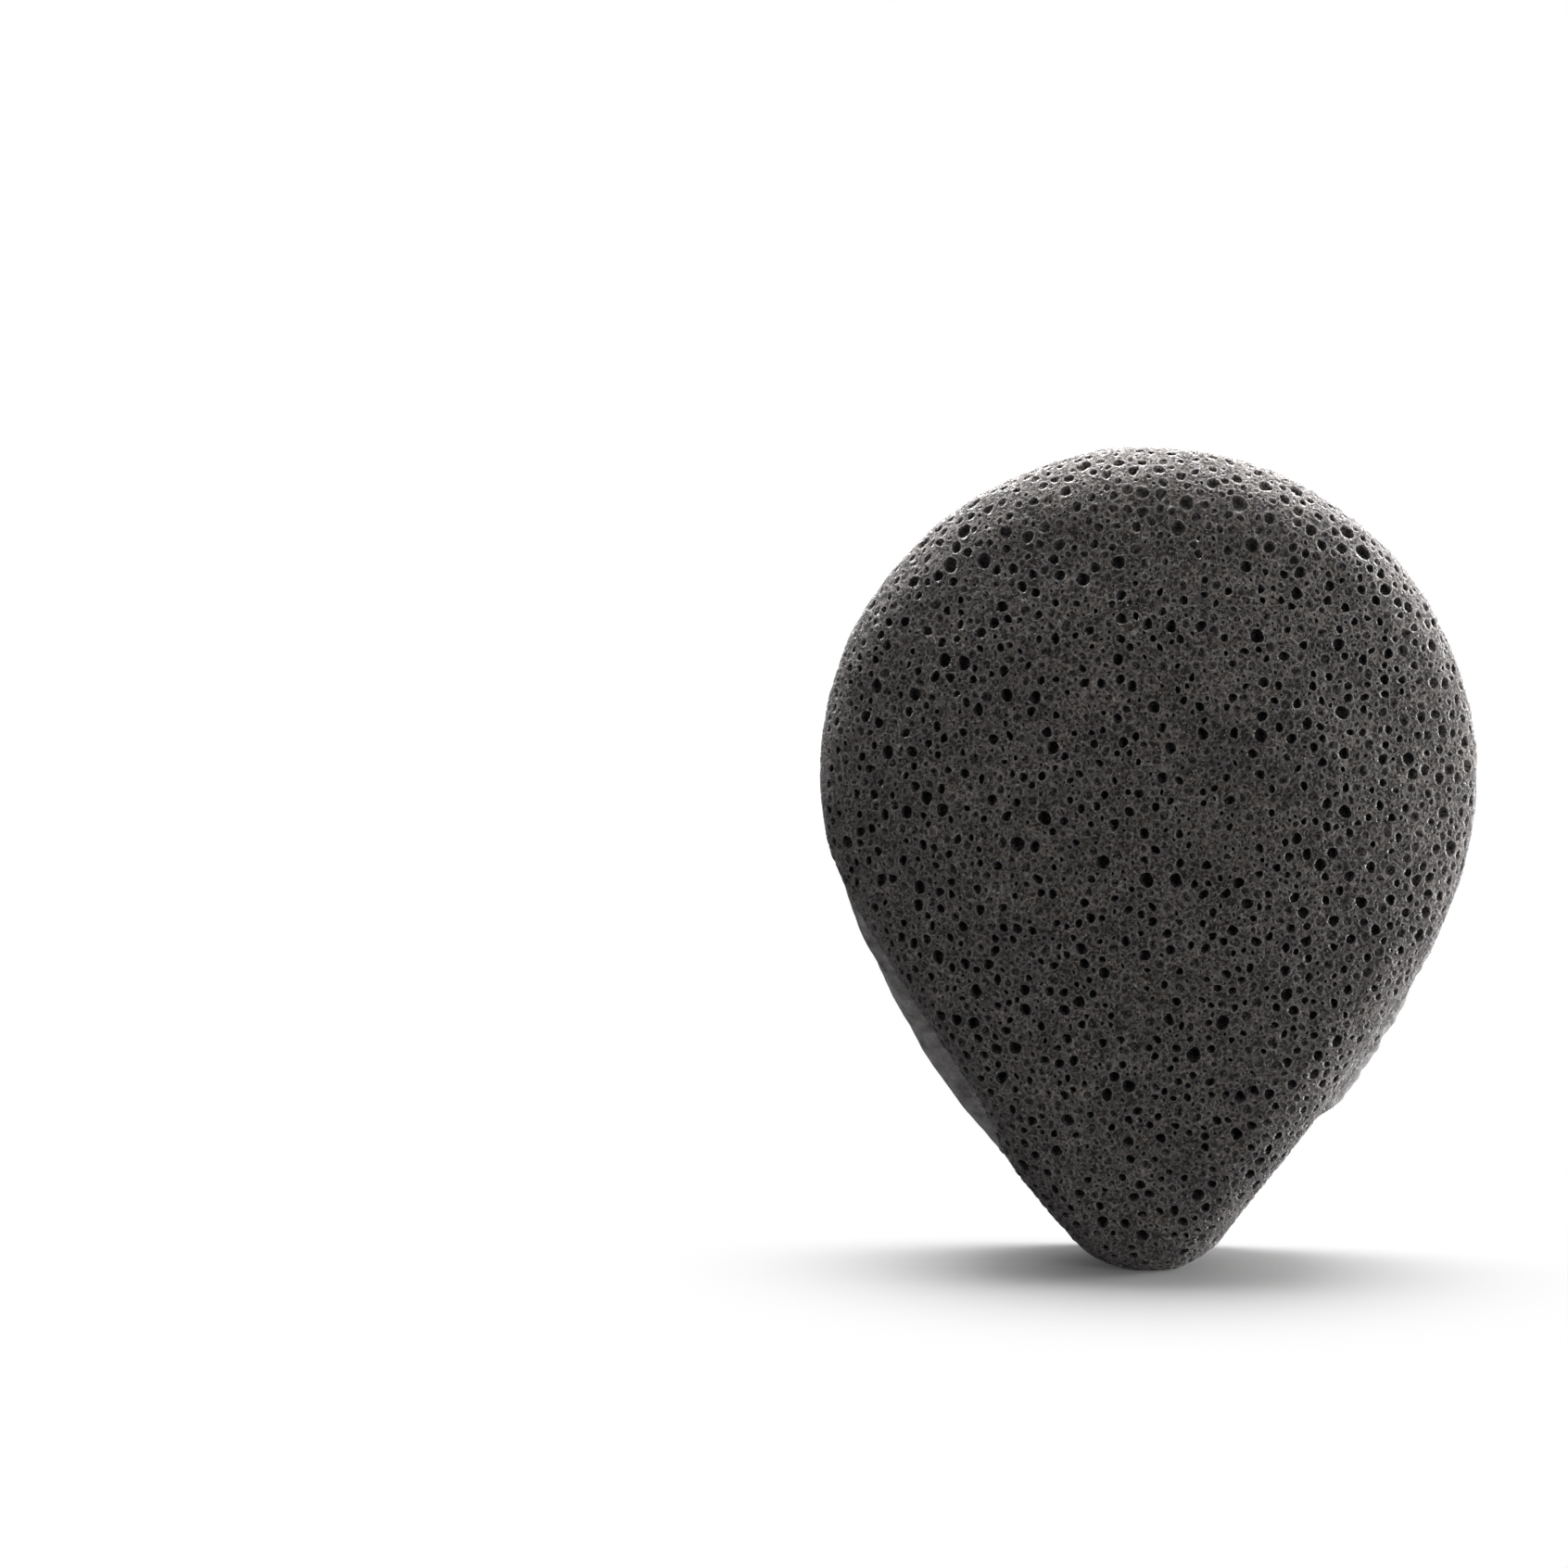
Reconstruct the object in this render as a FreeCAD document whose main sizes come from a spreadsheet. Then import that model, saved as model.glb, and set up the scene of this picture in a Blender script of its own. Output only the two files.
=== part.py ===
"""A teardrop konjac sponge that stands on its tip, in millimetres.

X runs across the sponge, Y from its domed front to its flat back, and Z up from the tip to the round end.
The tip stands on Z = 0, and the width and the thickness are centred on X = 0 and Y = 0.
"""

import FreeCAD, Part
import os
from math import atan2, hypot, sqrt

import Sketcher

# Driving dimensions, each with what it sets.
SIZES = {
    "cap_radius": 38.0,  # round upper end of the outline
    "cap_height": 57.1,  # centre of that round end above the floor
    "flank_radius": 400.0,  # gentle arc of each flank, from the round end to the tip
    "tip_radius": 11.5,  # round lower end of the outline
    "foot_depth": 0.5,  # how far the tip is pressed flat where it stands
    "thickness": 32.0,  # flat back to the highest point of the crown
    "crown_radius_across": 62.0,  # curve of the front from side to side
    "crown_radius_along": 185.0,  # curve of the front from the tip to the round end
    "crown_height": 58.0,  # highest point of the crown above the floor
    "front_edge_radius": 8.0,  # soft roll of the front into the sides
    "back_edge_radius": 4.0,  # tighter roll of the sides into the flat back
    "lip_cap_inset": 1.2,  # how far the lip lies inside the round end, where it doesn't show
    "lip_tip_inset": 1.2,  # how far the lip lies inside the tip, where it doesn't show
    "lip_flank_radius": 84.0,  # fuller flank of the lip, which stands out from the flanks
    "lip_thickness": 7.0,  # depth of the lip
    "lip_setback": 2.0,  # from the flat back to the lip
    "lip_edge_radius": 2.5,  # rolled edges of the lip
}
START, END, CENTRE = range(1, 4)  # how a sketch numbers the points of an arc
VERTICAL_AXIS, ORIGIN = range(-2, 0)  # how a sketch numbers its own upright axis and origin
FLAT = 1e-6  # how exactly an edge has to lie in a plane to count as part of it

# The crown's profile: it ends between the side of the sponge and its own widest point.
CROWN_REACH = "(sizes.cap_radius + sizes.crown_radius_across) / 2"
CROWN_CLEAR = "sizes.cap_radius"  # how far the cut reaches out in front of the sponge
CROWN_DEPTH = "sizes.crown_radius_across - sizes.thickness / 2"
CROWN_SWING = "sizes.crown_radius_along - sizes.thickness / 2"
CROWN_ANGLE = 80  # degrees, more than the whole height of the sponge needs

# A roll can't be larger than the walls that it joins, so the narrow tip and the thickness limit it.
FRONT_ROLL = "min(sizes.front_edge_radius; 0.7 * sizes.tip_radius; 0.25 * sizes.thickness)"
BACK_ROLL = "min(sizes.back_edge_radius; 0.6 * sizes.tip_radius; 0.16 * sizes.thickness)"
LIP_TIP = "sizes.tip_radius - sizes.lip_tip_inset"
LIP_BACK = "sizes.thickness / 2 - sizes.lip_setback"
LIP_ROLL = f"min(sizes.lip_edge_radius; 0.4 * sizes.lip_thickness; 0.6 * ({LIP_TIP}))"

doc = FreeCAD.newDocument("konjac_sponge")


def make_sheet():
    """The spreadsheet of driving dimensions, each with its own alias."""
    sheet = doc.addObject("Spreadsheet::Sheet", "sizes")
    for row, (name, value) in enumerate(SIZES.items(), start=1):
        sheet.set(f"A{row}", name)
        sheet.set(f"B{row}", str(value))
        sheet.setAlias(f"B{row}", name)
    doc.recompute()


def make_sketch(body, name, role):
    """An empty sketch on one of the body's own origin planes."""
    sketch = body.newObject("Sketcher::SketchObject", name)
    plane = next(p for p in body.Origin.OriginFeatures if p.Role == role)
    sketch.AttachmentSupport = (plane, [""])
    sketch.MapMode = "FlatFace"
    return sketch


def bind(sketch, name, expression, kind, *places):
    """Adds a dimension to a sketch and ties it to an expression."""
    index = sketch.addConstraint(Sketcher.Constraint(kind, *places, sketch.evalExpression(expression)))
    sketch.renameConstraint(index, name)
    sketch.setExpression(f"Constraints.{name}", expression)


def arc(centre, start, end):
    """An arc of a circle that runs anticlockwise from start to end."""
    radius = hypot(start.x - centre.x, start.y - centre.y)
    circle = Part.Circle(centre, FreeCAD.Vector(0, 0, 1), radius)
    first = atan2(start.y - centre.y, start.x - centre.x)
    last = atan2(end.y - centre.y, end.x - centre.x)
    return Part.ArcOfCircle(circle, first, last)


def mirrored(point):
    """A point of a sketch, across its upright axis."""
    return FreeCAD.Vector(-point.x, point.y, 0)


def draw_teardrop(sketch, cap_radius, flank_radius, tip_radius):
    """Draws a closed teardrop of tangent arcs, from expressions for its three radii."""
    cap_height, tip_height = "sizes.cap_height", "sizes.tip_radius - sizes.foot_depth"
    cap = sketch.evalExpression(cap_radius)
    flank = sketch.evalExpression(flank_radius)
    tip = sketch.evalExpression(tip_radius)
    cap_centre = FreeCAD.Vector(0, sketch.evalExpression(cap_height), 0)
    tip_centre = FreeCAD.Vector(0, sketch.evalExpression(tip_height), 0)
    top = cap_centre + FreeCAD.Vector(0, cap, 0)

    # The right flank's arc holds both end circles inside it, so its centre lies far to the left.
    to_cap, to_tip, spacing = flank - cap, flank - tip, cap_centre.y - tip_centre.y
    below_cap = (to_cap**2 - to_tip**2 + spacing**2) / (2 * spacing)
    centre = cap_centre - FreeCAD.Vector(sqrt(to_cap**2 - below_cap**2), below_cap, 0)
    at_cap = centre + (cap_centre - centre) * (flank / to_cap)
    at_tip = centre + (tip_centre - centre) * (flank / to_tip)

    right_cap = sketch.addGeometry(arc(cap_centre, at_cap, top))
    left_cap = sketch.addGeometry(arc(cap_centre, top, mirrored(at_cap)))
    left_flank = sketch.addGeometry(arc(mirrored(centre), mirrored(at_cap), mirrored(at_tip)))
    tip_arc = sketch.addGeometry(arc(tip_centre, mirrored(at_tip), at_tip))
    right_flank = sketch.addGeometry(arc(centre, at_tip, at_cap))

    sketch.addConstraint(Sketcher.Constraint("Coincident", right_cap, END, left_cap, START))
    sketch.addConstraint(Sketcher.Constraint("Coincident", right_cap, CENTRE, left_cap, CENTRE))
    sketch.addConstraint(Sketcher.Constraint("PointOnObject", right_cap, END, VERTICAL_AXIS))
    sketch.addConstraint(Sketcher.Constraint("PointOnObject", right_cap, CENTRE, VERTICAL_AXIS))
    sketch.addConstraint(Sketcher.Constraint("PointOnObject", tip_arc, CENTRE, VERTICAL_AXIS))
    round_trip = [left_cap, left_flank, tip_arc, right_flank, right_cap]
    for before, after in zip(round_trip, round_trip[1:]):
        sketch.addConstraint(Sketcher.Constraint("Tangent", before, END, after, START))
    sketch.addConstraint(Sketcher.Constraint("Equal", left_flank, right_flank))
    bind(sketch, "cap_radius", cap_radius, "Radius", right_cap)
    bind(sketch, "flank_radius", flank_radius, "Radius", left_flank)
    bind(sketch, "tip_radius", tip_radius, "Radius", tip_arc)
    bind(sketch, "cap_height", cap_height, "DistanceY", ORIGIN, START, right_cap, CENTRE)
    bind(sketch, "tip_height", tip_height, "DistanceY", ORIGIN, START, tip_arc, CENTRE)


def pad_teardrop(body, name, back, depth, radii):
    """A teardrop slab that reaches forward from the plane Y = back."""
    sketch = make_sketch(body, f"{name}_outline", "XZ_Plane")
    sketch.setExpression("AttachmentOffset.Base.z", f"-({back})")
    draw_teardrop(sketch, *radii)
    pad = body.newObject("PartDesign::Pad", f"{name}_slab")
    pad.Profile = sketch
    pad.setExpression("Length", depth)
    doc.recompute()
    return pad


def roll_edges(body, base, name, radius, numbers):
    """Rounds the numbered edges of the body's last feature."""
    fillet = body.newObject("PartDesign::Fillet", name)
    fillet.Base = (base, [f"Edge{number}" for number in numbers])
    fillet.setExpression("Radius", radius)
    doc.recompute()
    return fillet


def edges_in_plane(shape, plane):
    """The numbers of the edges that lie in the plane Y = plane."""
    boxes = [edge.BoundBox for edge in shape.Edges]
    return [
        number
        for number, box in enumerate(boxes, start=1)
        if abs(box.YMin - plane) < FLAT and abs(box.YMax - plane) < FLAT
    ]


def edges_round_crown(shape):
    """The numbers of the edges where the crown, the only doubly curved face so far, meets the sides."""
    crown = [face for face in shape.Faces if face.Surface.TypeId == "Part::GeomToroid"]
    sides = [face for face in shape.Faces if face.Surface.TypeId == "Part::GeomCylinder"]

    def has(faces, edge):
        return any(edge.isSame(other) for face in faces for other in face.Edges)

    numbered = enumerate(shape.Edges, start=1)
    return [number for number, edge in numbered if has(crown, edge) and has(sides, edge)]


def cut_crown(body, slab):
    """Cuts the front to a crown: an arc across the sponge, swung about a level axis far behind it."""
    sketch = make_sketch(body, "crown_profile", "XY_Plane")
    sketch.setExpression("AttachmentOffset.Base.z", "sizes.crown_height")
    front = sketch.evalExpression("-sizes.thickness / 2")
    across = sketch.evalExpression("sizes.crown_radius_across")
    along = sketch.evalExpression("sizes.crown_radius_along")
    reach = sketch.evalExpression(CROWN_REACH)
    clear = sketch.evalExpression(CROWN_CLEAR)
    rise = front + across - sqrt(across**2 - reach**2)
    left, right = FreeCAD.Vector(-reach, rise, 0), FreeCAD.Vector(reach, rise, 0)
    far_left, far_right = FreeCAD.Vector(-reach, front - clear, 0), FreeCAD.Vector(reach, front - clear, 0)
    behind = FreeCAD.Vector(0, front + along, 0)

    curve = sketch.addGeometry(arc(FreeCAD.Vector(0, front + across, 0), left, right))
    right_side = sketch.addGeometry(Part.LineSegment(right, far_right))
    outer_side = sketch.addGeometry(Part.LineSegment(far_right, far_left))
    left_side = sketch.addGeometry(Part.LineSegment(far_left, left))
    axis = sketch.addGeometry(Part.LineSegment(behind, behind + FreeCAD.Vector(reach, 0, 0)), True)

    round_trip = [curve, right_side, outer_side, left_side, curve]
    for before, after in zip(round_trip, round_trip[1:]):
        sketch.addConstraint(Sketcher.Constraint("Coincident", before, END, after, START))
    sketch.addConstraint(Sketcher.Constraint("Vertical", right_side))
    sketch.addConstraint(Sketcher.Constraint("Vertical", left_side))
    sketch.addConstraint(Sketcher.Constraint("Horizontal", outer_side))
    sketch.addConstraint(Sketcher.Constraint("Horizontal", axis))
    sketch.addConstraint(Sketcher.Constraint("PointOnObject", curve, CENTRE, VERTICAL_AXIS))
    sketch.addConstraint(Sketcher.Constraint("PointOnObject", axis, START, VERTICAL_AXIS))
    bind(sketch, "across", "sizes.crown_radius_across", "Radius", curve)
    bind(sketch, "reach", CROWN_REACH, "DistanceX", ORIGIN, START, curve, END)
    bind(sketch, "axis_length", CROWN_REACH, "DistanceX", axis, START, axis, END)
    bind(sketch, "depth", CROWN_DEPTH, "DistanceY", ORIGIN, START, curve, CENTRE)
    bind(sketch, "swing", CROWN_SWING, "DistanceY", ORIGIN, START, axis, START)
    bind(sketch, "clear", f"{CROWN_CLEAR} + sizes.thickness / 2", "DistanceY", outer_side, END, ORIGIN, START)

    groove = body.newObject("PartDesign::Groove", "crown")
    groove.Profile = sketch
    groove.ReferenceAxis = (sketch, ["Axis0"])
    groove.Midplane = True
    groove.Angle = CROWN_ANGLE
    doc.recompute()
    if not 0 < groove.Shape.Volume < slab.Shape.Volume:
        raise RuntimeError("the crown cut nothing off the front")
    return groove


def make_dome():
    """The block of foam: a teardrop slab with a crowned front, rolled into the sides and the back."""
    body = doc.addObject("PartDesign::Body", "dome")
    radii = "sizes.cap_radius", "sizes.flank_radius", "sizes.tip_radius"
    slab = pad_teardrop(body, "dome", "sizes.thickness / 2", "sizes.thickness", radii)
    crown = cut_crown(body, slab)
    front = roll_edges(body, crown, "front_roll", FRONT_ROLL, edges_round_crown(crown.Shape))
    back = edges_in_plane(front.Shape, front.evalExpression("sizes.thickness / 2"))
    roll_edges(body, front, "back_roll", BACK_ROLL, back)
    return body


def make_lip():
    """The fuller slab near the back, which shows as a soft lip along both flanks."""
    body = doc.addObject("PartDesign::Body", "lip")
    radii = "sizes.cap_radius - sizes.lip_cap_inset", "sizes.lip_flank_radius", LIP_TIP
    slab = pad_teardrop(body, "lip", LIP_BACK, "sizes.lip_thickness", radii)
    back = slab.evalExpression(LIP_BACK)
    front = slab.evalExpression(f"{LIP_BACK} - sizes.lip_thickness")
    edges = edges_in_plane(slab.Shape, back) + edges_in_plane(slab.Shape, front)
    roll_edges(body, slab, "lip_roll", LIP_ROLL, edges)
    return body


def make_sponge():
    """The dome and its lip as one block, pressed flat where it stands."""
    whole = doc.addObject("Part::Fuse", "whole")
    whole.Base = make_dome()
    whole.Tool = make_lip()
    floor = doc.addObject("Part::Box", "floor")
    floor.setExpression("Length", "2 * sizes.cap_radius")
    floor.setExpression("Width", "sizes.thickness")
    floor.setExpression("Height", "sizes.tip_radius")
    floor.setExpression("Placement.Base.x", "-sizes.cap_radius")
    floor.setExpression("Placement.Base.y", "-sizes.thickness / 2")
    floor.setExpression("Placement.Base.z", "-sizes.tip_radius")
    sponge = doc.addObject("Part::Cut", "sponge_body")
    sponge.Label = "sponge_body"
    sponge.Base = whole
    sponge.Tool = floor
    doc.recompute()
    return sponge


def check_and_write(pieces):
    """Stops at anything that failed, then writes one file for each piece."""
    for item in doc.Objects:
        if "Invalid" in item.State or "Error" in item.State:
            raise RuntimeError(f"{item.Name} failed: {item.State}")
    for piece in pieces:
        if piece.Shape.isNull() or not piece.Shape.isValid():
            raise RuntimeError(f"{piece.Label} has no valid shape")
    os.makedirs("parts", exist_ok=True)
    for piece in pieces:
        piece.Shape.exportStep(f"parts/{piece.Label}.step")
        box = piece.Shape.optimalBoundingBox()
        print(f"{piece.Label}: {box.XLength:.2f} x {box.YLength:.2f} x {box.ZLength:.2f} mm,")
        print(f"  {len(piece.Shape.Solids)} solid, {piece.Shape.Volume / 1000:.1f} cm3")


make_sheet()
check_and_write([make_sponge()])
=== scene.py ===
# %% [markdown]
# # A charcoal konjac sponge
# The object is one soft block: a teardrop of konjac-gel foam, coloured with charcoal, standing on its tip.
# Its form comes from the CAD solid. What the eye sees first, though, is the foam: round open cells with
# dark insides and pale rims, filmed-over cells, and a fine grain between them. This lesson cuts those
# cells as real geometry and gives the gel a matte, slightly velvety finish.

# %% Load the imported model
from math import atan, radians, sqrt, tau

import bmesh
import bpy
import numpy as np
from mathutils import Matrix, Quaternion, Vector, noise
from mathutils.bvhtree import BVHTree
from mathutils.kdtree import KDTree


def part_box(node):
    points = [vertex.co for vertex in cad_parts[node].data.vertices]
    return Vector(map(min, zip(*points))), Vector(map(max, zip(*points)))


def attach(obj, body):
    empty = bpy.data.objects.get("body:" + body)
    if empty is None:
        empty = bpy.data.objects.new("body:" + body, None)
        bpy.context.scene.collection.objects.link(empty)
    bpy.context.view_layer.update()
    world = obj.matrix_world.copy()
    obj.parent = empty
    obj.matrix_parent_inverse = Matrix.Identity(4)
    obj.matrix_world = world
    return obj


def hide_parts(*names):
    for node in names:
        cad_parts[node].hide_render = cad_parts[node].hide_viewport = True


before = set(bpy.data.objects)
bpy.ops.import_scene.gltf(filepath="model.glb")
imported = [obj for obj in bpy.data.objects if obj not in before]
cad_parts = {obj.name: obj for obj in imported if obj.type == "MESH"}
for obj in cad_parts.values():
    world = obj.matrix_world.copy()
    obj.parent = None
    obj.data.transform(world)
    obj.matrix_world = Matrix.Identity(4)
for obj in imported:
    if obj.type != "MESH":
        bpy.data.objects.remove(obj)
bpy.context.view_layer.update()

MM = 0.001
scene = bpy.context.scene
low, high = (Vector(corner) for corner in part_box("sponge_body"))
print("CAD box in mm:", [round(side / MM, 1) for side in high - low])


# %% [markdown]
# ## Colours and nodes
# Colours are written as sRGB hex values, the way a colour picker shows them. Blender's shaders work with
# linear light, so one function converts them. A second one adds a node, with its settings and its links,
# so that a material or a geometry set-up below reads as a list of what it is made of.

# %% Two helpers
def linear(hex_colour):
    """An sRGB hex colour as linear RGBA."""
    channels = [int(hex_colour[i : i + 2], 16) / 255 for i in (1, 3, 5)]
    return [c / 12.92 if c <= 0.04045 else ((c + 0.055) / 1.055) ** 2.4 for c in channels] + [1.0]


def add_node(tree, kind, settings=None, **inputs):
    """Adds a node; each input is a value, or the output socket that feeds it."""
    node = tree.nodes.new(kind)
    for name, value in (settings or {}).items():
        setattr(node, name, value)
    for name, value in inputs.items():
        key = int(name[1:]) if name[0] == "i" and name[1:].isdigit() else name.replace("_", " ")
        if isinstance(value, bpy.types.NodeSocket):
            tree.links.new(value, node.inputs[key])
        else:
            node.inputs[key].default_value = value
    return node


# %% [markdown]
# ## The camera
# The photograph was taken with a short telephoto lens from about 40 cm away. The sponge stands to the right
# of the middle of the frame and shows its domed face squarely, from slightly above. So the camera stands in
# front of it and is turned to the left, and its place is worked back from the pixel where the middle of the
# sponge appears.

# %% Camera
FRAME_PIXELS = 1692
SENSOR = 36 * MM
LENS = 80 * MM
PITCH_DOWN = radians(1.8)
DEPTH = 409 * MM
MIDDLE_PIXEL = (1236, 926)
MIDDLE_BACK = 3 * MM  # how far the outline's middle lies behind the middle of the thickness

focal_pixels = LENS / SENSOR * FRAME_PIXELS
target = Vector((0, MIDDLE_BACK, (low.z + high.z) / 2))
across = (MIDDLE_PIXEL[0] - FRAME_PIXELS / 2) / focal_pixels
up = (FRAME_PIXELS / 2 - MIDDLE_PIXEL[1]) / focal_pixels
turn = Matrix.Rotation(atan(across), 3, "Z") @ Matrix.Rotation(radians(90) - PITCH_DOWN, 3, "X")
camera = bpy.data.objects.new("camera", bpy.data.cameras.new("camera"))
camera.data.sensor_width = SENSOR / MM
camera.data.lens = LENS / MM
camera.location = target - turn @ Vector((across, up, -1)) * DEPTH
camera.rotation_euler = turn.to_euler()
scene.collection.objects.link(camera)
scene.camera = camera
print("camera at", [round(c / MM) for c in camera.location], "mm")


# %% [markdown]
# ## The block of foam
# The CAD solid already has the teardrop outline, the crowned front, the rolled edges and the lip along the
# flanks. Its mesh is made for CAD, though, with long thin triangles. A voxel remesh gives an even skin that
# can be pushed about. Foam that was frozen and pressed is never quite true, so the skin then swells and
# sinks by a few tenths of a millimetre, in broad waves and in finer ones. The lip was pressed out of shape
# as it dried. On the right it is squeezed out and a little torn. On the left it is pushed out, the flank in
# front of it is drawn in, and a crease runs between them. The points could be moved by sculpting, but
# moving them in code gives the same sponge on every run.

# %% Even skin
MERGE = 0.001 * MM  # points of the CAD mesh that lie closer than this are one point
VOXEL = 0.33 * MM
WAVES = ((14 * MM, 0.30 * MM), (4 * MM, 0.14 * MM), (1.5 * MM, 0.09 * MM))  # length and height of each
BULGE = 1.7 * MM  # how far the lip of the right flank is squeezed out
TEARS = ((1.7 * MM, 0.35 * MM), (0.8 * MM, 0.2 * MM))  # length and height of the torn edge's waves
CREASE_PLACE = 7 * MM  # where the left crease runs, from the middle of the thickness towards the back
CREASE_WIDTH = 0.7 * MM
CREASE_DEPTH = 0.6 * MM
TUCK = 1.5 * MM  # how far the left flank is drawn in, in front of the crease
LIP_PUSH = 0.9 * MM  # and how far the lip behind it is pushed out

# Soft borders, each with its start and end: the front and back ones along Y, the foot and head ones along Z
LIP_FRONT = (5.5 * MM, 7.5 * MM)
LIP_BACK = (13.5 * MM, 15 * MM)
LIP_FOOT = (6 * MM, 14 * MM)
LIP_HEAD = (44 * MM, 56 * MM)
SQUEEZE_FRONT = (-2 * MM, 5 * MM)
SQUEEZE_FOOT = (15.5 * MM, 18.5 * MM)
SQUEEZE_HEAD = (24 * MM, 46 * MM)
TUCK_FRONT = (-12 * MM, -3 * MM)
TUCK_FOOT = (12 * MM, 20 * MM)
PUSH_FOOT = (4 * MM, 13 * MM)
CREASE_HEAD = (36 * MM, 50 * MM)


def ramp(value, start, end):
    """0 before start, 1 after end, and a smooth rise between them."""
    share = min(max((value - start) / (end - start), 0), 1)
    return share * share * (3 - 2 * share)


def waves(place, sizes):
    """The height, at a place, of waves of the given lengths and heights."""
    return sum(height * noise.noise(place / length) for length, height in sizes)


def lip_share(place):
    """1 on the lip of the flanks, 0 off it, with soft borders."""
    across = ramp(place.y, *LIP_FRONT) * (1 - ramp(place.y, *LIP_BACK))
    return across * ramp(place.z, *LIP_FOOT) * (1 - ramp(place.z, *LIP_HEAD))


def squeeze(place):
    """How far a point of the right flank is squeezed out along X."""
    if place.x < 0:
        return 0
    on_flank = ramp(place.y, *SQUEEZE_FRONT) * (1 - ramp(place.z, *SQUEEZE_HEAD))
    return (BULGE + waves(place, TEARS)) * on_flank * ramp(place.z, *SQUEEZE_FOOT)


def crease(place):
    """How far a point of the left flank is drawn in, or below 0 where the lip is pushed out."""
    if place.x > 0:
        return 0
    groove = CREASE_DEPTH * (1 - ramp(abs(place.y - CREASE_PLACE), 0, CREASE_WIDTH))
    behind = ramp(place.y, CREASE_PLACE, CREASE_PLACE + CREASE_WIDTH)
    front = TUCK * ramp(place.y, *TUCK_FRONT) * (1 - behind)
    drawn_in = (groove + front) * ramp(place.z, *TUCK_FOOT)
    pushed_out = LIP_PUSH * behind * ramp(place.z, *PUSH_FOOT)
    return (drawn_in - pushed_out) * (1 - ramp(place.z, *CREASE_HEAD))


def applied(obj):
    """The object's mesh with its modifiers applied."""
    return bpy.data.meshes.new_from_object(obj.evaluated_get(bpy.context.evaluated_depsgraph_get()))


def make_form():
    """The sponge without its cells."""
    mesh = bpy.data.objects["sponge_body"].data.copy()
    bm = bmesh.new()
    bm.from_mesh(mesh)
    bmesh.ops.remove_doubles(bm, verts=bm.verts, dist=MERGE)
    bm.to_mesh(mesh)
    bm.free()
    rough = bpy.data.objects.new("rough_form", mesh)
    scene.collection.objects.link(rough)
    remesh = rough.modifiers.new("even_skin", "REMESH")
    remesh.mode = "VOXEL"
    remesh.voxel_size = VOXEL
    skin = applied(rough)
    bpy.data.objects.remove(rough)
    moves = []
    for vertex in skin.vertices:
        swell = vertex.normal * waves(vertex.co, WAVES)
        drawn_in = Vector((vertex.normal.x, 0, vertex.normal.z)) * crease(vertex.co)
        moves.append(vertex.co + swell - drawn_in + Vector((squeeze(vertex.co), 0, 0)))
    for vertex, place in zip(skin.vertices, moves):
        vertex.co = place
        vertex.co.z = max(place.z, low.z)
    form = bpy.data.objects.new("form", skin)
    scene.collection.objects.link(form)
    return form


form = make_form()
print("even skin:", len(form.data.polygons), "faces")


# %% [markdown]
# ## The cells
# Each open cell was a bubble in the gel. A ball of the bubble's size, sunk into the skin, cuts one with a
# Boolean: sunk deep it leaves a dark round hole, and standing high it leaves a shallow dish, like a cell
# that is still closed by a film. The cells of real foam crowd together but stay round, so a place is drawn
# for each ball in turn, the largest of its family first, and kept only where the ball clears all earlier
# ones. Some patches hold more cells than others, and the pressed lip holds hardly any. At the round end and
# far to the right the cells are shallower, so their balls are sunk less there.

# %% Draw places for the cells
DEEP = 0.55  # a deep cell's ball has its centre this far under the skin, as a share of its radius
CELLS = {
    # name: cells in a square centimetre, smallest and largest radius, depth of the ball's centre under
    # the skin as a share of its radius, subdivisions of the ball
    "large": (1.6, 0.80 * MM, 1.05 * MM, DEEP, 2),
    "middle": (14, 0.46 * MM, 0.78 * MM, DEEP, 2),
    "filmed": (17, 0.40 * MM, 0.85 * MM, -0.5, 2),
    "small": (36, 0.15 * MM, 0.36 * MM, 0.3, 1),
}
SKEW = 1.3  # above 1, small cells of a family are commoner than large ones
SEPTUM = 0.03 * MM  # least wall of gel between two balls
PATCH = 9 * MM  # size of the patches that hold more cells, or fewer
PATCH_LIMITS = (-1.2, 0.0)  # a place is kept where the patches' noise passes a value drawn between these
TRIES = 12  # places that are drawn for a ball before it is given up
SQUARE_CM = 1e-4
SHALLOW = 0.8  # how much less a deep ball is sunk where the cells are shallow, as a share of its radius
SHALLOW_TOP = (78 * MM, 90 * MM)  # soft border of the shallow cells at the round end, along Z
SHALLOW_RIGHT = (27 * MM, 36 * MM)  # and of those far to the right, along X
rng = np.random.default_rng(11)


def shallow(place):
    """1 at the round end and far to the right, where the cells are only dished, and 0 elsewhere."""
    return max(ramp(place.z, *SHALLOW_TOP), ramp(place.x, *SHALLOW_RIGHT))


def skin_points(mesh):
    """The places of a mesh's points, and its normals there."""
    places = np.empty(len(mesh.vertices) * 3)
    mesh.vertices.foreach_get("co", places)
    normals = np.empty(len(mesh.vertices) * 3, np.float32)
    mesh.vertex_normals.foreach_get("vector", normals)
    return places.reshape(-1, 3), normals.reshape(-1, 3)


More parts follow.
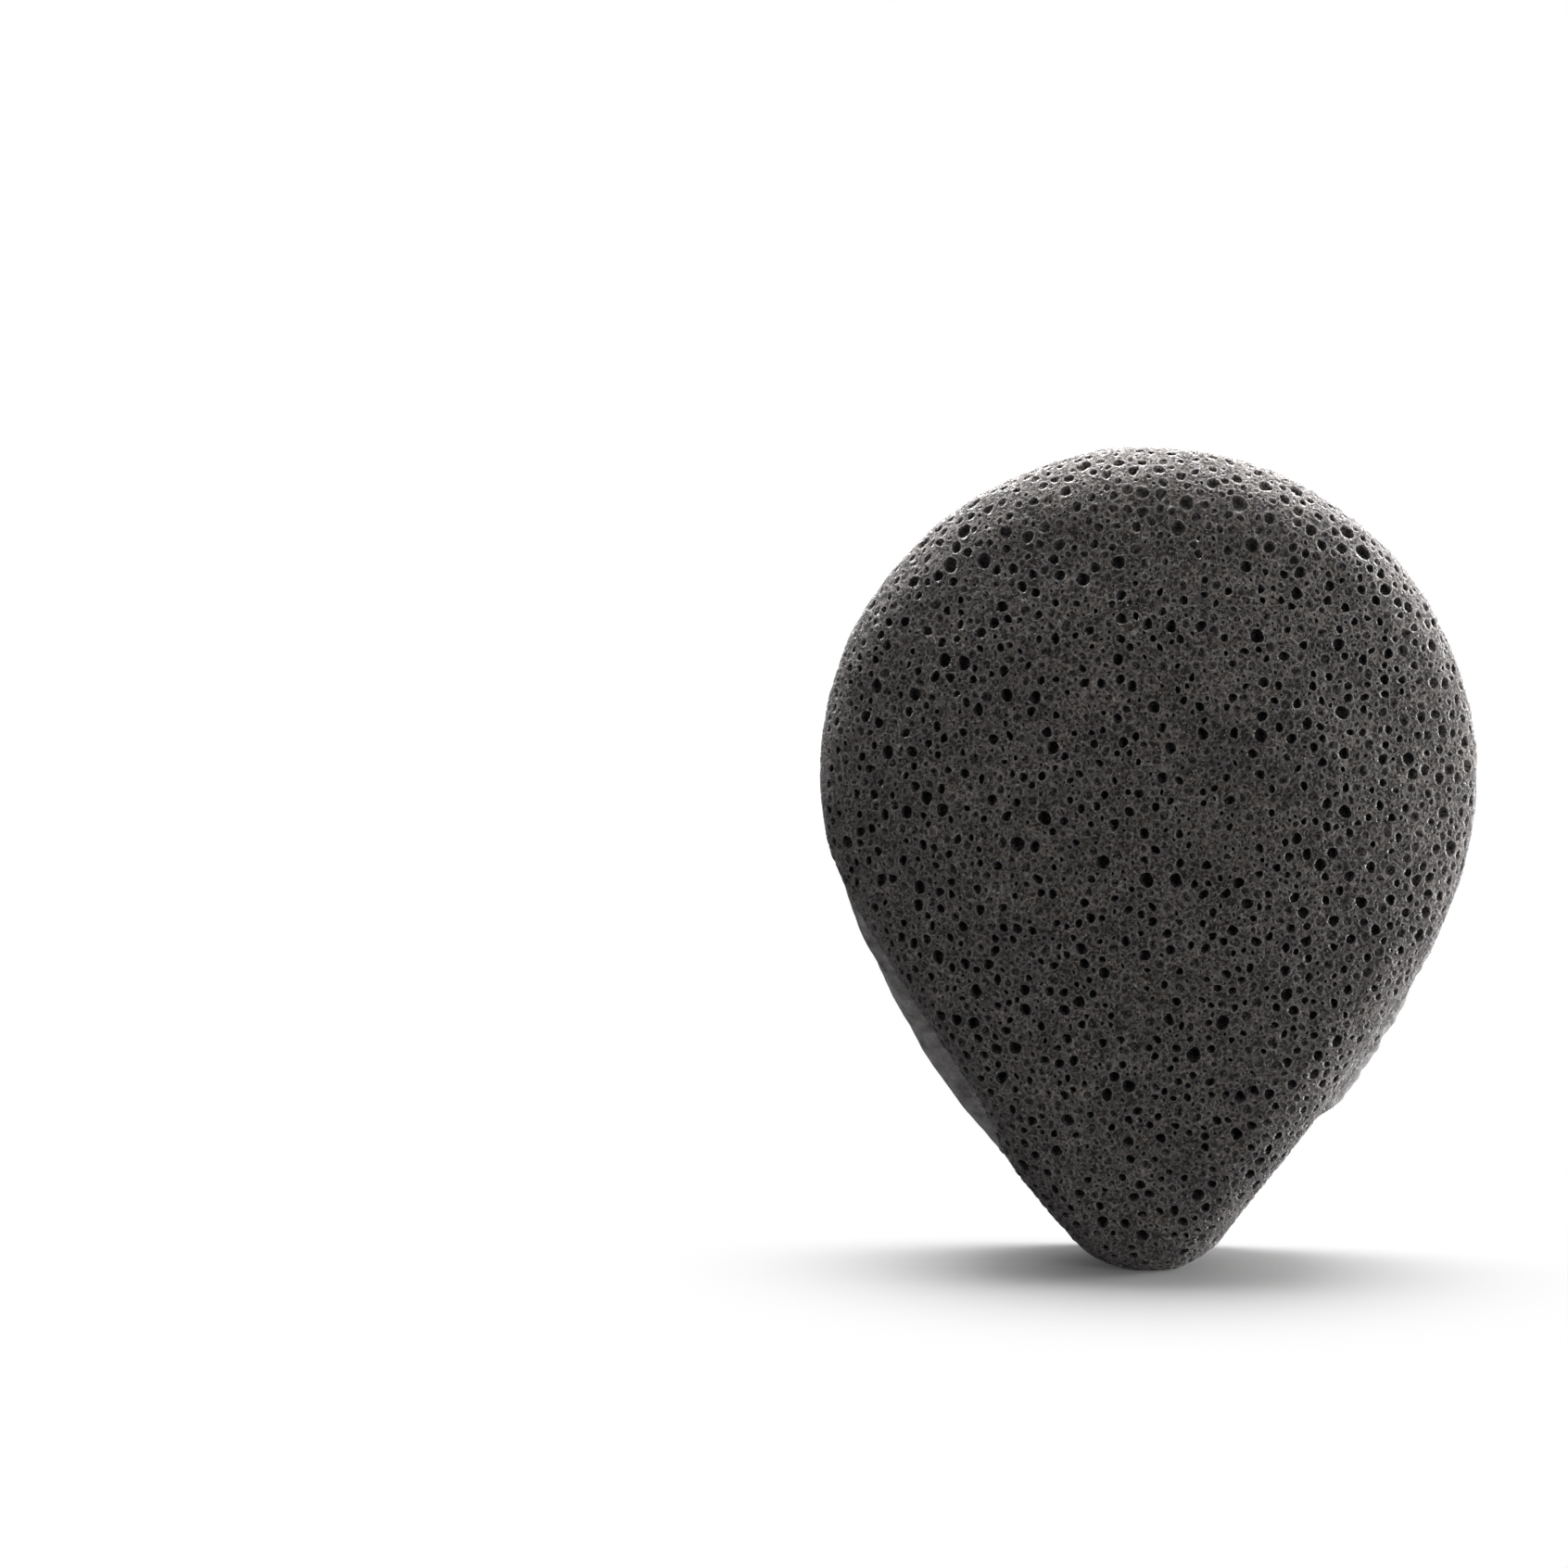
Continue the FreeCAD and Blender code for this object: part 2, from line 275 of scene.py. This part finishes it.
def draw_places():
    """For each family: the balls' centres, their radii, the mouths' radii and the skin's normals there."""
    places, normals = skin_points(form.data)
    area = sum(face.area for face in form.data.polygons)
    centres, radii, families = np.empty((0, 3)), np.empty(0), {}
    for name, (density, smallest, largest, sunk, _) in CELLS.items():
        wanted = round(density * area / SQUARE_CM)
        first = len(radii)
        sizes = smallest + (largest - smallest) * rng.random(wanted) ** SKEW
        picked = []
        for radius in np.sort(sizes)[::-1]:
            for index in rng.integers(len(places), size=TRIES):
                if noise.noise(places[index] / PATCH) < rng.uniform(*PATCH_LIMITS):
                    continue
                place = Vector(places[index])
                if lip_share(place) > rng.random():
                    continue
                depth = sunk - SHALLOW * max(sunk, 0) / DEEP * shallow(place)
                centre = places[index] - normals[index] * radius * depth
                gaps = np.linalg.norm(centres - centre, axis=1) - radii
                if gaps.min(initial=np.inf) > radius + SEPTUM:
                    centres = np.vstack([centres, centre])
                    radii = np.append(radii, radius)
                    picked.append(index)
                    break
        sizes = radii[first:]
        families[name] = centres[first:], sizes, sizes * sqrt(1 - sunk**2), normals[picked]
        print(name, "cells:", len(picked), "of", wanted)
    return families


families = draw_places()


# %% [markdown]
# A film is rarely whole: up to three small openings pierce it. They are set evenly round the film's middle,
# so that they don't touch each other. Each is one more ball, with its centre level with the dish's bottom.

# %% Openings in the films
# For each number of openings: their offset and largest radius, as shares of the film's radius
OPENINGS = {1: (0.2, 0.5), 2: (0.5, 0.38), 3: (0.54, 0.32)}
OPENING_SPREAD = (0.7, 1.0)  # an opening's radius, as a share of the largest
OPENING_DETAIL = 1  # subdivisions of an opening's ball


def pierce_films(centres, radii, mouths, normals):
    """The centres and radii of the balls that pierce the films."""
    found = []
    for centre, radius, mouth, normal in zip(centres, radii, mouths, normals):
        number = int(rng.integers(0, len(OPENINGS) + 1))
        around = Vector(normal).orthogonal().normalized()
        around.rotate(Quaternion(normal, rng.uniform(0, tau)))
        for _ in range(number):
            offset, share = OPENINGS[number]
            place = Vector(centre) + around * offset * mouth - Vector(normal) * radius
            found.append((*place, share * mouth * rng.uniform(*OPENING_SPREAD)))
            around.rotate(Quaternion(normal, tau / number))
    found = np.array(found)
    return found[:, :3], found[:, 3]


families["opening"] = pierce_films(*families["filmed"])
print("openings in films:", len(families["opening"][1]))


# %% [markdown]
# Geometry nodes turn each list of places into balls: a low ball is copied to every place and scaled by the
# radius that is stored there. A smooth noise then pushes all balls out of true in the same way, so that the
# cells come out uneven but still don't meet. One manifold Boolean for each family cuts them all at once,
# which takes a second or two where the exact solver would take minutes. The cuts leave some closed hollows
# and crumbs that can't be seen, and these are deleted, so that the sponge is one closed shell.

# %% Cut the cells
UNEVEN = 0.6 * MM  # full range of the push
UNEVEN_LENGTH = 1.1 * MM


def make_balls(name, centres, radii, detail):
    """An object that holds a ball for each place."""
    points = bpy.data.meshes.new(name)
    points.vertices.add(len(radii))
    points.vertices.foreach_set("co", np.ravel(centres))
    points.attributes.new("radius", "FLOAT", "POINT").data.foreach_set("value", radii.astype(np.float32))
    tree = bpy.data.node_groups.new(name, "GeometryNodeTree")
    tree.interface.new_socket("Geometry", in_out="INPUT", socket_type="NodeSocketGeometry")
    tree.interface.new_socket("Geometry", in_out="OUTPUT", socket_type="NodeSocketGeometry")
    places = add_node(tree, "NodeGroupInput")
    ball = add_node(tree, "GeometryNodeMeshIcoSphere", Radius=1.0, Subdivisions=detail)
    radius = add_node(tree, "GeometryNodeInputNamedAttribute", Name="radius")
    balls = add_node(
        tree, "GeometryNodeInstanceOnPoints",
        Points=places.outputs[0], Instance=ball.outputs["Mesh"], Scale=radius.outputs[0],
    )
    real = add_node(tree, "GeometryNodeRealizeInstances", Geometry=balls.outputs[0])
    push = add_node(tree, "ShaderNodeTexNoise", Scale=1 / UNEVEN_LENGTH, Detail=0.0)
    both_ways = add_node(
        tree, "ShaderNodeVectorMath", {"operation": "SUBTRACT"},
        i0=push.outputs["Color"], i1=(0.5, 0.5, 0.5),
    )
    offset = add_node(
        tree, "ShaderNodeVectorMath", {"operation": "SCALE"}, i0=both_ways.outputs[0], Scale=UNEVEN
    )
    uneven = add_node(
        tree, "GeometryNodeSetPosition", Geometry=real.outputs[0], Offset=offset.outputs[0]
    )
    add_node(tree, "NodeGroupOutput", Geometry=uneven.outputs[0])
    holder = bpy.data.objects.new(name, points)
    scene.collection.objects.link(holder)
    holder.modifiers.new("balls", "NODES").node_group = tree
    return holder


def cut_cells():
    """The form with every family of cells cut out of it."""
    sponge = bpy.data.objects.new("konjac_sponge", form.data)
    scene.collection.objects.link(sponge)
    for name, (centres, radii, *_) in families.items():
        detail = CELLS[name][-1] if name in CELLS else OPENING_DETAIL
        holder = make_balls(name, centres, radii, detail)
        balls = bpy.data.objects.new(f"{name}_balls", applied(holder))
        scene.collection.objects.link(balls)
        cut = sponge.modifiers.new(name, "BOOLEAN")
        cut.object = balls
        cut.solver = "MANIFOLD"
        sponge.data = applied(sponge)
        sponge.modifiers.clear()
        print(name, "cut, faces now:", len(sponge.data.polygons))
        bpy.data.objects.remove(balls)
        bpy.data.objects.remove(holder)
    return sponge


def drop_loose(mesh):
    """Deletes the hidden hollows and crumbs that the cuts leave, which don't join the skin."""
    bm = bmesh.new()
    bm.from_mesh(mesh)
    front = [max(bm.verts, key=lambda vertex: vertex.co.z)]
    joined = set(front)
    while front:
        vertex = front.pop()
        for edge in vertex.link_edges:
            other = edge.other_vert(vertex)
            if other not in joined:
                joined.add(other)
                front.append(other)
    loose = [vertex for vertex in bm.verts if vertex not in joined]
    bmesh.ops.delete(bm, geom=loose, context="VERTS")
    bm.to_mesh(mesh)
    bm.free()
    print("loose points dropped:", len(loose))


sponge = cut_cells()
drop_loose(sponge.data)


# %% [markdown]
# ## Depth and rims
# The finish changes with the cells. Their insides get painted shade, darker the deeper they lie, and their
# rims, thin edges of gel, are paler than the skin, partly as the gel's own colour and partly as a painted
# highlight. Both are measured on the finished mesh: how deep each point lies under the uncut skin, and how
# near to the mouth of a cell. The rims are then raised by a hair, as the gel draws up round a burst bubble.
# The lip is marked too. Pressing has closed its cells, and it is painted pale, partly as pressed gel and
# partly as painted light that shines through the thin lip, less so on the right, where it is torn open.

# %% Measure the cells
RIM_RISE = 0.13 * MM
RIM_WIDTH = 0.26 * MM
ON_SKIN = 0.01 * MM
RIGHT_LIP = 0.6  # how pale the lip is on the right, as a share of the left
SHARP = radians(40)  # edges that turn by more than this stay sharp


def find_mouths(mesh, on_skin):
    """A search tree of the points where the skin breaks off into a cell."""
    ends = np.empty(len(mesh.edges) * 2, np.int32)
    mesh.edges.foreach_get("vertices", ends)
    first, second = ends.reshape(-1, 2).T
    lips = np.where(on_skin[first], first, second)[on_skin[first] != on_skin[second]]
    tree = KDTree(len(lips))
    for index in lips.tolist():
        tree.insert(mesh.vertices[index].co, index)
    tree.balance()
    return tree


def measure_cells():
    """Stores depth in millimetres, and rim and lip from 0 to 1, on the points, and raises the rims."""
    mesh = sponge.data
    skin = BVHTree.FromObject(form, bpy.context.evaluated_depsgraph_get())
    nearest = [skin.find_nearest(vertex.co) for vertex in mesh.vertices]
    depth = np.array([away for *_, away in nearest])
    on_skin = depth < ON_SKIN
    mouths = find_mouths(mesh, on_skin)
    rim = np.zeros(len(depth))
    lip = np.array([lip_share(v.co) * (RIGHT_LIP if v.co.x > 0 else 1) for v in mesh.vertices])
    for index in np.flatnonzero(on_skin).tolist():
        vertex = mesh.vertices[index]
        rim[index] = max(1 - mouths.find(vertex.co)[2] / RIM_WIDTH, 0)
        vertex.co += nearest[index][1] * RIM_RISE * rim[index]
        vertex.co.z = max(vertex.co.z, low.z)
    for name, values in (("cell_depth", depth / MM), ("cell_rim", rim), ("lip", lip)):
        layer = mesh.attributes.new(name, "FLOAT", "POINT")
        layer.data.foreach_set("value", values.astype(np.float32))
    mesh.polygons.foreach_set("use_smooth", np.ones(len(mesh.polygons), bool))
    mesh.set_sharp_from_angle(angle=SHARP)
    print("points on rims:", int((rim > 0.5).sum()), "deepest:", round(depth.max() / MM, 2), "mm")


measure_cells()
bpy.data.objects.remove(form)


# %% [markdown]
# ## Konjac gel, coloured with charcoal
# Dried konjac foam is a matte gel full of fine fibres and charcoal dust. It is dark grey and slightly warm,
# with a frosted grain of a few tenths of a millimetre. More cells lie just under the skin and show through
# it as dim rounds with a pale ring, and thin strands of gel lie across it. A Voronoi texture gives the
# rounds, with a radius of its own for each, and the strands are where a stretched noise crosses its
# middle value.

# %% Faint cells and strands
STRAND = 2.4 * MM  # size of the noise whose middle line is a strand
MOTTLE = 6 * MM  # size of the patches that have strands, and of the broadest changes of tone


def faint_cells(tree, place, spacing):
    """A brightness: 1 on plain skin, less inside cells that show through it, more on their rings."""
    cells = add_node(tree, "ShaderNodeTexVoronoi", Vector=place, Scale=1 / spacing)
    chance = add_node(tree, "ShaderNodeSeparateColor", Color=cells.outputs["Color"])
    radius = add_node(tree, "ShaderNodeMapRange", Value=chance.outputs[0], To_Min=0.2, To_Max=0.48)
    ratio = add_node(
        tree, "ShaderNodeMath", {"operation": "DIVIDE"}, i0=cells.outputs["Distance"], i1=radius.outputs[0]
    )
    inside = add_node(
        tree, "ShaderNodeMapRange", Value=ratio.outputs[0], From_Min=0.7, From_Max=0.95, To_Min=0.3
    )
    off_ring = add_node(tree, "ShaderNodeMath", {"operation": "SUBTRACT"}, i0=ratio.outputs[0], i1=1.05)
    gap = add_node(tree, "ShaderNodeMath", {"operation": "ABSOLUTE"}, i0=off_ring.outputs[0])
    ring = add_node(
        tree, "ShaderNodeMapRange", Value=gap.outputs[0], From_Max=0.22, To_Min=1.8, To_Max=1.0
    )
    return add_node(
        tree, "ShaderNodeMath", {"operation": "MULTIPLY"}, i0=inside.outputs[0], i1=ring.outputs[0]
    ).outputs[0]


def strands(tree, lying, place):
    """Up to 1 on thin strands that lie mostly level, in some patches only."""
    wander = add_node(tree, "ShaderNodeTexNoise", Vector=lying, Scale=1 / STRAND, Detail=2.0)
    off_line = add_node(tree, "ShaderNodeMath", {"operation": "SUBTRACT"}, i0=wander.outputs["Fac"], i1=0.5)
    gap = add_node(tree, "ShaderNodeMath", {"operation": "ABSOLUTE"}, i0=off_line.outputs[0])
    line = add_node(
        tree, "ShaderNodeMapRange", Value=gap.outputs[0], From_Max=0.014, To_Min=1.0, To_Max=0.0
    )
    some = add_node(tree, "ShaderNodeTexNoise", Vector=place, Scale=1 / MOTTLE)
    where = add_node(tree, "ShaderNodeMapRange", Value=some.outputs["Fac"], From_Min=0.48, From_Max=0.6)
    return add_node(
        tree, "ShaderNodeMath", {"operation": "MULTIPLY"}, i0=line.outputs[0], i1=where.outputs[0]
    ).outputs[0]


# %% [markdown]
# The gel's colour is built up in that order: a dark and a lighter grey, mixed by the grain, then dimmed and
# lit by the faint cells and by soft clumps. Strands of dry gel, painted glints and the rims go over it in
# one pale grey; the rims' paleness is partly the gel's own and partly a painted highlight. The pressed lip,
# more in some clumps than in others, goes over it in a paler one, partly as pressed gel and partly as
# painted light that shines through the thin lip. The insides of the cells get painted shade, darker the
# deeper they
# lie but not black: where light falls in, as on the top, they show grey. Gel lets some light through, which
# spreads a little way under the skin. Light that grazes the foam catches on the fuzz of broken cell walls,
# and that is the sheen.

# %% Material
GRAIN = 0.4 * MM
# the size of the painted glints
GLINT_SIZE = 0.28 * MM
CLUMP = 1.6 * MM
WIDE_CELL = 1.6 * MM
FINE_CELL = 0.75 * MM
BUMP_HEIGHT = 0.5 * MM
LIGHT_REACH = 2 * MM  # how far light spreads under the skin


def konjac_gel():
    """Charcoal konjac foam: a frosted grain, faint cells, painted glints, pale rims and lip that are partly
    painted light, and painted shade in the cells.
    """
    material = bpy.data.materials.new("charcoal_konjac_foam")
    material.use_nodes = True
    tree = material.node_tree
    shader = tree.nodes["Principled BSDF"]
    place = add_node(tree, "ShaderNodeTexCoord").outputs["Object"]
    lying = add_node(tree, "ShaderNodeMapping", Vector=place, Scale=(0.5, 1.0, 1.0)).outputs[0]
    grain = add_node(tree, "ShaderNodeTexNoise", Vector=place, Scale=1 / GRAIN, Detail=3.0, Roughness=0.7)
    tone = add_node(tree, "ShaderNodeMapRange", Value=grain.outputs["Fac"], From_Min=0.42, From_Max=0.58)
    colour = add_node(
        tree, "ShaderNodeMix", {"data_type": "RGBA"},
        i0=tone.outputs[0], i6=linear("#110e0c"), i7=linear("#6a6560"),
    ).outputs[2]

    clump = add_node(tree, "ShaderNodeTexNoise", Vector=lying, Scale=1 / CLUMP, Detail=3.0, Roughness=0.6)
    mottle = add_node(tree, "ShaderNodeTexNoise", Vector=place, Scale=1 / MOTTLE, Detail=2.0)
    level = 1.0
    for factor in (
        faint_cells(tree, place, WIDE_CELL),
        faint_cells(tree, place, FINE_CELL),
        add_node(
            tree, "ShaderNodeMapRange",
            Value=clump.outputs["Fac"], From_Min=0.3, From_Max=0.7, To_Min=0.5, To_Max=1.5,
        ).outputs[0],
        add_node(
            tree, "ShaderNodeMapRange",
            Value=mottle.outputs["Fac"], From_Min=0.3, From_Max=0.7, To_Min=0.75, To_Max=1.25,
        ).outputs[0],
    ):
        level = add_node(tree, "ShaderNodeMath", {"operation": "MULTIPLY"}, i0=level, i1=factor).outputs[0]
    colour = add_node(
        tree, "ShaderNodeVectorMath", {"operation": "SCALE"}, i0=colour, Scale=level
    ).outputs[0]

    # The pale flecks are painted glints: tiny highlights drawn into the colour.
    spots = add_node(tree, "ShaderNodeTexNoise", Vector=place, Scale=1 / GLINT_SIZE, Detail=1.0)
    painted_glints = add_node(tree, "ShaderNodeMapRange", Value=spots.outputs["Fac"], From_Min=0.62, From_Max=0.74)
    # The rims' pale ring is partly the gel's own colour and partly a painted highlight on the cells' edges.
    rim = add_node(tree, "ShaderNodeAttribute", {"attribute_name": "cell_rim"})
    pale = 0.0
    for share, most in (
        (painted_glints.outputs[0], 1.0),
        (strands(tree, lying, place), 0.5),
        (rim.outputs["Fac"], 0.4),
    ):
        limited = add_node(tree, "ShaderNodeMath", {"operation": "MULTIPLY"}, i0=share, i1=most)
        pale = add_node(
            tree, "ShaderNodeMath", {"operation": "MAXIMUM"}, i0=pale, i1=limited.outputs[0]
        ).outputs[0]
    colour = add_node(
        tree, "ShaderNodeMix", {"data_type": "RGBA"}, i0=pale, i6=colour, i7=linear("#9a9697")
    ).outputs[2]
    # The lip's pale colour is partly pressed gel and partly painted light that shines through the thin lip.
    lip = add_node(tree, "ShaderNodeAttribute", {"attribute_name": "lip"})
    pressed = add_node(
        tree, "ShaderNodeMapRange", Value=clump.outputs["Fac"], From_Min=0.35, From_Max=0.6, To_Min=0.4
    )
    lip_pale_and_lit = add_node(
        tree, "ShaderNodeMath", {"operation": "MULTIPLY"}, i0=lip.outputs["Fac"], i1=pressed.outputs[0]
    )
    colour = add_node(
        tree, "ShaderNodeMix", {"data_type": "RGBA"}, i0=lip_pale_and_lit.outputs[0], i6=colour, i7=linear("#d0cdcd")
    ).outputs[2]

    # Painted shade: the cells' insides are darkened the deeper they lie.
    depth = add_node(tree, "ShaderNodeAttribute", {"attribute_name": "cell_depth"})
    painted_cell_shade = add_node(
        tree, "ShaderNodeMapRange",
        Value=depth.outputs["Fac"], From_Min=0.15, From_Max=0.7, To_Min=1.0, To_Max=0.28,
    )
    colour = add_node(
        tree, "ShaderNodeVectorMath", {"operation": "SCALE"}, i0=colour, Scale=painted_cell_shade.outputs[0]
    ).outputs[0]
    height = add_node(
        tree, "ShaderNodeMath", {"operation": "MULTIPLY_ADD"}, i0=level, i1=0.2, i2=grain.outputs["Fac"]
    )
    bump = add_node(tree, "ShaderNodeBump", Strength=1.0, Distance=BUMP_HEIGHT, Height=height.outputs[0])
    tree.links.new(colour, shader.inputs["Base Color"])
    tree.links.new(bump.outputs[0], shader.inputs["Normal"])
    shader.inputs["Roughness"].default_value = 0.62
    shader.inputs["IOR"].default_value = 1.42
    shader.inputs["Specular IOR Level"].default_value = 0.15
    shader.inputs["Subsurface Weight"].default_value = 0.6
    shader.inputs["Subsurface Radius"].default_value = (1.0, 1.0, 1.0)
    shader.inputs["Subsurface Scale"].default_value = LIGHT_REACH
    shader.inputs["Sheen Weight"].default_value = 0.3
    shader.inputs["Sheen Roughness"].default_value = 0.4
    shader.inputs["Sheen Tint"].default_value = linear("#d6d4d8")
    return material


sponge.data.materials.clear()
sponge.data.materials.append(konjac_gel())
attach(sponge, "root")
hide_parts("sponge_body")
print("finish:", sponge.data.materials[0].name)


# %% [markdown]
# ## Floor and light
# The sponge stands on a white sweep in soft studio light: a broad lamp close above it and a little behind,
# which frosts the top, a smaller one close on the right, and weak fills from the front and from behind.
# Lamps that stand close fall off quickly, so the round end is bright and the tip stays dark. The sweep and
# the world show white to the camera, and the floor keeps the shadow round the tip.

# %% Stage
FLOOR_REACH = 3.0  # metres from the tip to each edge of the floor
SHADOW_REACH = 0.06  # metres from the tip to where the floor shows plain white
SURROUND = (0.0, 0.02)  # light of the surround on the far left and on the far right
LAMPS = {
    # name: place, width and depth in metres, power in watts
    "overhead": ((0.0, 0.045, 0.27), 0.26, 0.14, 2.3),
    "right": ((0.24, 0.065, 0.05), 0.12, 0.12, 1.05),
    "front_right": ((0.52, -0.62, 0.08), 0.5, 0.5, 4.8),
    "front_left": ((-0.5, -0.55, 0.04), 0.4, 0.4, 1.9),
    "back_fill": ((0.1, 0.9, 0.3), 0.6, 0.6, 4),
}


def to_eye(tree):
    """1 for a ray that the eye sees straight on, in a reflection or through glass."""
    path = add_node(tree, "ShaderNodeLightPath")
    seen = add_node(
        tree, "ShaderNodeMath", {"operation": "MAXIMUM"},
        i0=path.outputs["Is Camera Ray"], i1=path.outputs["Is Glossy Ray"],
    )
    return add_node(
        tree, "ShaderNodeMath", {"operation": "MAXIMUM"},
        i0=seen.outputs[0], i1=path.outputs["Is Transmission Ray"],
    ).outputs[0]


def make_floor():
    """A broad white floor, lit by the lamps near the sponge and plain white further off."""
    bm = bmesh.new()
    bmesh.ops.create_grid(bm, x_segments=1, y_segments=1, size=FLOOR_REACH)
    mesh = bpy.data.meshes.new("floor")
    bm.to_mesh(mesh)
    bm.free()
    floor = bpy.data.objects.new("floor", mesh)
    floor.location.z = low.z
    scene.collection.objects.link(floor)
    material = bpy.data.materials.new("white_sweep")
    material.use_nodes = True
    tree = material.node_tree
    tree.nodes.clear()
    seen = to_eye(tree)
    tint = add_node(
        tree, "ShaderNodeMix", {"data_type": "RGBA"}, i0=seen, i6=linear("#3c3c3c"), i7=linear("#a8a8a8")
    )
    paper = add_node(tree, "ShaderNodeBsdfDiffuse", Color=tint.outputs[2])
    glow = add_node(tree, "ShaderNodeEmission", Color=linear("#ffffff"), Strength=seen)
    place = add_node(tree, "ShaderNodeTexCoord").outputs["Object"]
    far = add_node(tree, "ShaderNodeVectorMath", {"operation": "LENGTH"}, i0=place)
    share = add_node(
        tree, "ShaderNodeMapRange", {"interpolation_type": "SMOOTHSTEP"},
        Value=far.outputs["Value"], From_Min=0.0, From_Max=SHADOW_REACH, To_Min=0.03,
    )
    both = add_node(
        tree, "ShaderNodeMixShader", i0=share.outputs[0], i1=paper.outputs[0], i2=glow.outputs[0]
    )
    add_node(tree, "ShaderNodeOutputMaterial", Surface=both.outputs[0])
    mesh.materials.append(material)


def make_world(left, right):
    """A surround that the camera sees as white, and that lights the sponge less from the left."""
    world = bpy.data.worlds.new("white_surround")
    world.use_nodes = True
    tree = world.node_tree
    way = add_node(tree, "ShaderNodeTexCoord").outputs["Generated"]
    sideways = add_node(tree, "ShaderNodeSeparateXYZ", Vector=way)
    level = add_node(
        tree, "ShaderNodeMapRange",
        Value=sideways.outputs["X"], From_Min=-1.0, From_Max=1.0, To_Min=left, To_Max=right,
    )
    strength = add_node(tree, "ShaderNodeMix", i0=to_eye(tree), i2=level.outputs[0], i3=1.0)
    tree.links.new(strength.outputs[0], tree.nodes["Background"].inputs["Strength"])
    tree.nodes["Background"].inputs["Color"].default_value = linear("#ffffff")
    scene.world = world


def make_lamp(name, place, width, depth, power):
    """A soft box lamp that points at the middle of the sponge."""
    light = bpy.data.lights.new(name, "AREA")
    light.shape = "RECTANGLE"
    light.size = width
    light.size_y = depth
    light.energy = power
    lamp = bpy.data.objects.new(name, light)
    lamp.location = place
    lamp.rotation_euler = (target - lamp.location).to_track_quat("-Z", "Y").to_euler()
    scene.collection.objects.link(lamp)


make_floor()
make_world(*SURROUND)
for name, (place, width, depth, power) in LAMPS.items():
    make_lamp(name, Vector(place), width, depth, power)
scene.view_settings.view_transform = "Standard"
print("lamps:", ", ".join(LAMPS))
